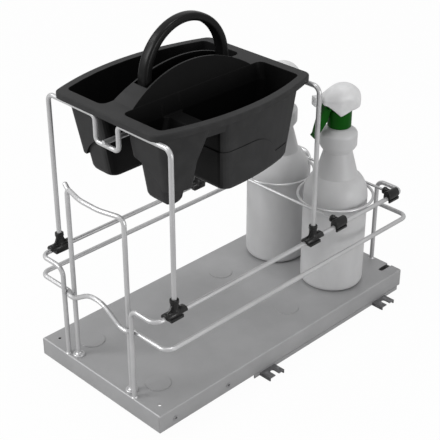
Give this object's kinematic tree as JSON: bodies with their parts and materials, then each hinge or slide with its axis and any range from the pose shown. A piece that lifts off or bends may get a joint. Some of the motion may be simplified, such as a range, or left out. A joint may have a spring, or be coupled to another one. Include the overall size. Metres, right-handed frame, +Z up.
{
  "type": "under sink organizer",
  "caption": "Pull-out under-sink tray on ball slides with wire rails, a lift-out cleaning caddy with a handle and spray bottles in a wire ring holder.",
  "frame": {"origin": "on the floor, in the middle of the tray's footprint", "axes": "+X right, +Y towards the back of the cabinet, +Z up; the tray pulls out along -Y"},
  "size_m": [0.276, 0.4911, 0.4908],
  "materials": {
    "bracket": "satin dark grey powder coat",
    "slide": "zinc-plated steel",
    "cage": "plain steel",
    "balls": "polished steel balls",
    "tray": "satin silver-grey powder coat",
    "wire": "satin silver-grey powder coat",
    "clip": "black moulded plastic",
    "caddy": "charcoal moulded polypropylene with a fine grain",
    "handle": "smooth black plastic",
    "bottle": "milky blow-moulded plastic",
    "green": "deep green plastic",
    "head": "off-white plastic",
    "tube": "clear flexible tube"
  },
  "bodies": {
    "floor_frame": {"front_cross_bracket": "bracket", "rear_cross_bracket": "bracket", "left_base_rail": "slide", "right_base_rail": "slide", "left_fixed_rail": "slide", "right_fixed_rail": "slide"},
    "tray_frame": {"tray": "tray", "left_moving_rail": "slide", "right_moving_rail": "slide", "slide_eyelets": "slide", "left_upper_rail": "wire", "right_upper_rail": "wire", "lower_rail": "wire", "pull_loop": "wire", "loop_feet": "wire", "front_hanger": "wire", "rear_hanger": "wire", "tie_wire": "wire", "front_left_hanger_clip": "clip", "front_right_hanger_clip": "clip", "rear_left_hanger_clip": "clip", "rear_right_hanger_clip": "clip"},
    "left_cage": {"left_ball_cage": "cage", "left_slide_balls": "balls"},
    "right_cage": {"right_ball_cage": "cage", "right_slide_balls": "balls"},
    "bottle_holder": {"front_cross_wire": "wire", "rear_cross_wire": "wire", "left_ring": "wire", "right_ring": "wire", "front_left_ring_clip": "clip", "front_right_ring_clip": "clip", "rear_left_ring_clip": "clip", "rear_right_ring_clip": "clip"},
    "caddy_set": {"caddy": "caddy", "caddy_handle": "handle"},
    "left_spray_bottle": {"left_bottle": "bottle", "left_collar": "green", "left_spray_head": "head", "left_dip_tube": "tube"},
    "left_trigger_lever": {"left_trigger": "green"},
    "left_nozzle_cap": {"left_nozzle": "head"},
    "right_spray_bottle": {"right_bottle": "bottle", "right_collar": "green", "right_spray_head": "head", "right_dip_tube": "tube"},
    "right_trigger_lever": {"right_trigger": "green"},
    "right_nozzle_cap": {"right_nozzle": "head"}
  },
  "joints": [
    {"name": "tray_slide", "type": "slide", "parent": "floor_frame", "child": "tray_frame", "axis": [0, -1, 0], "range_m": [0, 0.235]},
    {"name": "left_cage_roll", "type": "slide", "parent": "floor_frame", "child": "left_cage", "axis": [0, -1, 0], "range_m": [0, 0.1175]},
    {"name": "right_cage_roll", "type": "slide", "parent": "floor_frame", "child": "right_cage", "axis": [0, -1, 0], "range_m": [0, 0.1175]},
    {"name": "holder_slide", "type": "slide", "parent": "tray_frame", "child": "bottle_holder", "axis": [0, -1, 0], "range_m": [0, 0.012]},
    {"name": "caddy_lift", "type": "slide", "parent": "tray_frame", "child": "caddy_set", "axis": [0, 0, 1], "range_m": [0, 0.15]},
    {"name": "left_bottle_lift", "type": "slide", "parent": "bottle_holder", "child": "left_spray_bottle", "axis": [0, 0, 1], "range_m": [0, 0.25]},
    {"name": "left_trigger_pull", "type": "hinge", "parent": "left_spray_bottle", "child": "left_trigger_lever", "pos_m": [-0.06492, 0.13797, 0.3122], "axis": [0.9063, -0.4226, 0], "range_deg": [0, 10], "stiffness_Nm_per_rad": 0.05, "springref_deg": -5.73},
    {"name": "left_nozzle_turn", "type": "hinge", "parent": "left_spray_bottle", "child": "left_nozzle_cap", "pos_m": [-0.07126, 0.12437, 0.3232], "axis": [-0.4226, -0.9063, 0], "range_deg": [-90, 90]},
    {"name": "right_bottle_lift", "type": "slide", "parent": "bottle_holder", "child": "right_spray_bottle", "axis": [0, 0, 1], "range_m": [0, 0.25]},
    {"name": "right_trigger_pull", "type": "hinge", "parent": "right_spray_bottle", "child": "right_trigger_lever", "pos_m": [0.04718, 0.13797, 0.3122], "axis": [0.9063, -0.4226, 0], "range_deg": [0, 10], "stiffness_Nm_per_rad": 0.05, "springref_deg": -5.73},
    {"name": "right_nozzle_turn", "type": "hinge", "parent": "right_spray_bottle", "child": "right_nozzle_cap", "pos_m": [0.04084, 0.12437, 0.3232], "axis": [-0.4226, -0.9063, 0], "range_deg": [-90, 90]}
  ],
  "couplings": [
    {"joint": "left_cage_roll", "follows": "tray_slide", "ratio": 0.5},
    {"joint": "right_cage_roll", "follows": "tray_slide", "ratio": 0.5}
  ]
}
